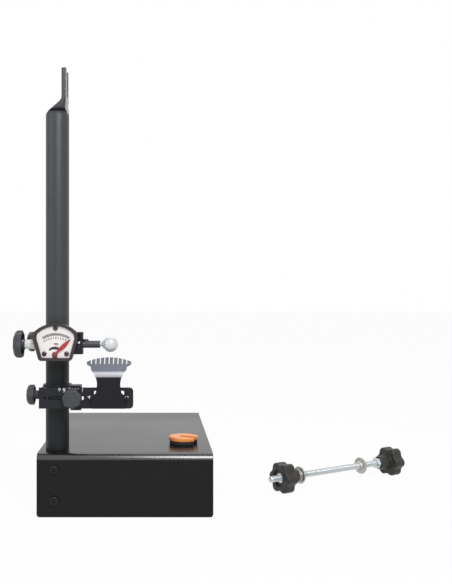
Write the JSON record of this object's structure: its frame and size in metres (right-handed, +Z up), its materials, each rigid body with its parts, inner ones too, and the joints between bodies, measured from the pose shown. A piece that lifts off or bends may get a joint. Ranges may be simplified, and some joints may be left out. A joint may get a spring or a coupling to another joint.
{
  "type": "bicycle wheel truing stand",
  "caption": "Post stand on a bent sheet base for truing bicycle wheels, with a needle dial feeler, a slotted comb feeler on a rail, a slotted washer and a through axle with star knobs.",
  "frame": {"origin": "on the surface the stand rests on, in the middle of the front wall's lower edge, straight in front of the post's axis", "axes": "+Z up along the post, +X to the right along the base's front and along the wheel's axle, +Y from the front to the back"},
  "size_m": [0.5063, 0.3109, 0.514],
  "materials": {
    "base_paint": "satin black powder coat",
    "post_paint": "fine textured dark grey powder coat",
    "black_steel": "black oxide",
    "black_alloy": "black anodised",
    "knob_plastic": "moulded dark plastic",
    "sleeve_plastic": "moulded bush",
    "dial_white": "printed white plate",
    "needle_red": "red enamel",
    "comb_steel": "bare steel fan over a black lower plate",
    "polished_steel": "polished",
    "zinc_steel": "bright zinc plate",
    "pale_plastic": "pale moulded collar",
    "orange_plastic": "orange moulding",
    "rubber": "black rubber"
  },
  "bodies": {
    "stand": {"base_shell": "base_paint", "post": "post_paint", "post_bolts": "black_steel", "post_spacers": "zinc_steel", "post_nuts": "zinc_steel"},
    "gauge_sleeve": {"gauge_sleeve": "sleeve_plastic"},
    "gauge_head": {"gauge_head": "black_alloy", "dial_housing": "knob_plastic", "dial_face": "dial_white", "dial_rivets": "black_steel", "needle_pivot": "black_steel"},
    "gauge_clamp": {"gauge_clamp_knob": "knob_plastic", "gauge_clamp_stud": "black_steel"},
    "plunger": {"plunger": "black_alloy", "drive_dog": "black_steel", "rod_screw": "black_steel"},
    "feeler": {"feeler_rod": "zinc_steel", "feeler_ball": "polished_steel", "feeler_collar": "pale_plastic", "feeler_knob": "knob_plastic"},
    "needle": {"needle": "needle_red"},
    "lower_sleeve": {"lower_sleeve": "sleeve_plastic"},
    "rail_head": {"rail_head": "black_alloy"},
    "lower_clamp": {"lower_clamp_knob": "knob_plastic", "lower_clamp_stud": "black_steel"},
    "rail": {"rail": "black_alloy", "hinge_pin": "zinc_steel", "pin_clip": "zinc_steel", "comb_springs": "zinc_steel"},
    "rail_lock": {"rail_lock_knob": "knob_plastic", "rail_lock_stud": "zinc_steel"},
    "comb": {"comb_plate": "comb_steel"},
    "washer": {"slotted_washer": "orange_plastic", "washer_pad": "rubber"},
    "axle": {"axle_rod": "zinc_steel", "fixed_knob": "knob_plastic", "lock_nut": "zinc_steel"},
    "loose_knob": {"loose_knob": "knob_plastic", "loose_knob_insert": "zinc_steel"},
    "near_cone": {"near_cone": "zinc_steel"},
    "far_cone": {"far_cone": "zinc_steel"}
  },
  "joints": [
    {"name": "gauge_slide", "type": "slide", "parent": "stand", "child": "gauge_sleeve", "axis": [0, 0, 1], "range_m": [0, 0.24]},
    {"name": "gauge_swivel", "type": "hinge", "parent": "gauge_sleeve", "child": "gauge_head", "pos_m": [0, 0.0285, 0.1965], "axis": [0, 0, 1], "range_deg": [-60, 15]},
    {"name": "gauge_clamp_turn", "type": "hinge", "parent": "gauge_head", "child": "gauge_clamp", "pos_m": [-0.03, 0.0285, 0.1968], "axis": [1, 0, 0], "range_deg": [0, 360]},
    {"name": "plunger_slide", "type": "slide", "parent": "gauge_head", "child": "plunger", "axis": [1, 0, 0], "range_m": [-0.01165, 0], "stiffness_N_per_m": 120, "springref_m": 0.004},
    {"name": "needle_swing", "type": "hinge", "parent": "gauge_head", "child": "needle", "pos_m": [0.0011, -0.0045, 0.1842], "axis": [0, 1, 0], "range_deg": [-92, 0]},
    {"name": "feeler_reach", "type": "slide", "parent": "plunger", "child": "feeler", "axis": [1, 0, 0], "range_m": [-0.0015, 0]},
    {"name": "lower_slide", "type": "slide", "parent": "stand", "child": "lower_sleeve", "axis": [0, 0, 1], "range_m": [-0.045, 0]},
    {"name": "lower_swivel", "type": "hinge", "parent": "lower_sleeve", "child": "rail_head", "pos_m": [0, 0.0285, 0.13475], "axis": [0, 0, 1], "range_deg": [-15, 60]},
    {"name": "lower_clamp_turn", "type": "hinge", "parent": "rail_head", "child": "lower_clamp", "pos_m": [-0.03, 0.0285, 0.13475], "axis": [1, 0, 0], "range_deg": [0, 360]},
    {"name": "rail_slide", "type": "slide", "parent": "rail_head", "child": "rail", "axis": [1, 0, 0], "range_m": [-0.006, 0.022]},
    {"name": "rail_lock_turn", "type": "hinge", "parent": "rail_head", "child": "rail_lock", "pos_m": [0.0208, -0.006, 0.13475], "axis": [0, 1, 0], "range_deg": [0, 360]},
    {"name": "comb_tilt", "type": "hinge", "parent": "rail", "child": "comb", "pos_m": [0.062, -0.0046, 0.1364], "axis": [1, 0, 0], "range_deg": [-25, 25], "stiffness_Nm_per_rad": 0.12, "deforming": ["comb_springs"]},
    {"name": "washer_lift", "type": "slide", "parent": "stand", "child": "washer", "axis": [0, 0, 1], "range_m": [0, 0.05]},
    {"name": "axle_lift", "type": "slide", "parent": "stand", "child": "axle", "axis": [0, 0, 1], "range_m": [0, 0.05]},
    {"name": "loose_knob_draw", "type": "slide", "parent": "axle", "child": "loose_knob", "axis": [0.866, 0.5, 0], "range_m": [-0.01, 0]},
    {"name": "near_cone_draw", "type": "slide", "parent": "axle", "child": "near_cone", "axis": [0.866, 0.5, 0], "range_m": [0, 0.045]},
    {"name": "far_cone_draw", "type": "slide", "parent": "axle", "child": "far_cone", "axis": [0.866, 0.5, 0], "range_m": [-0.045, 0.018]}
  ],
  "couplings": [
    {"joint": "needle_swing", "follows": "plunger_slide", "rad_per_m": 137.83}
  ]
}
